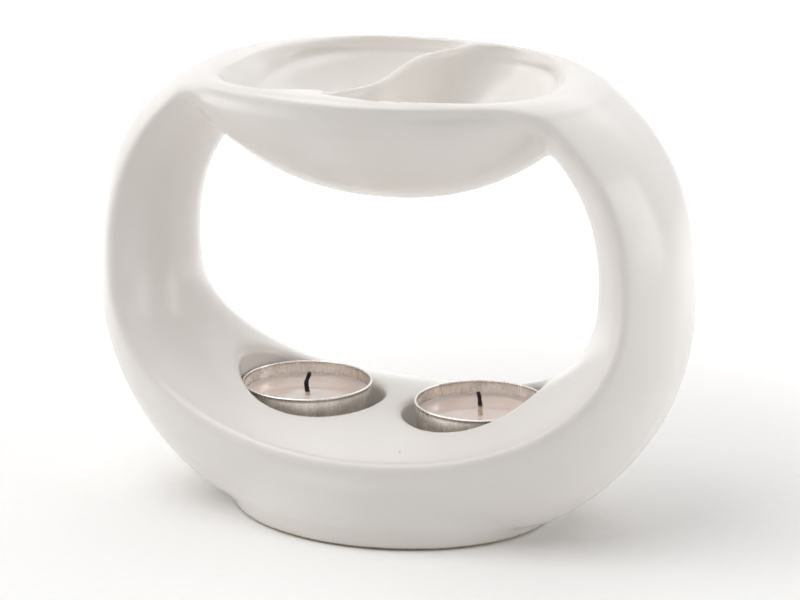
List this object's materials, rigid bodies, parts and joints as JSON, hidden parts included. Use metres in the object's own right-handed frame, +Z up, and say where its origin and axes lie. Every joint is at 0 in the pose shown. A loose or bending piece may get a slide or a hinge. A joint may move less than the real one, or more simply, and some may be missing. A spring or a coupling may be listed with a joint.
{
  "type": "essential oil burner",
  "caption": "White glazed ceramic oil burner: an oval loop with a shallow oil bowl on top, split by an S-shaped wall, and a platform below whose round recesses hold tealights.",
  "frame": {"origin": "on the table, under the middle of the foot", "axes": "+X across the loop towards the right tealight, +Y through the loop towards its back, +Z up"},
  "size_m": [0.177, 0.0924, 0.132],
  "materials": {
    "ceramic": "satin",
    "cup_aluminium": "satin",
    "wax": "gloss",
    "wick_cotton": "matte",
    "tab_tinplate": "satin"
  },
  "bodies": {
    "burner": {"burner_body": "ceramic"},
    "left_tealight": {"left_tealight_cup": "cup_aluminium", "left_tealight_wax": "wax", "left_tealight_wick": "wick_cotton", "left_wick_tab": "tab_tinplate"},
    "right_tealight": {"right_tealight_cup": "cup_aluminium", "right_tealight_wax": "wax", "right_tealight_wick": "wick_cotton", "right_wick_tab": "tab_tinplate"}
  },
  "joints": [
    {"name": "left_tealight_lift", "type": "slide", "parent": "burner", "child": "left_tealight", "axis": [0, 0, 1], "range_m": [0, 0.04]},
    {"name": "right_tealight_lift", "type": "slide", "parent": "burner", "child": "right_tealight", "axis": [0, 0, 1], "range_m": [0, 0.04]}
  ]
}
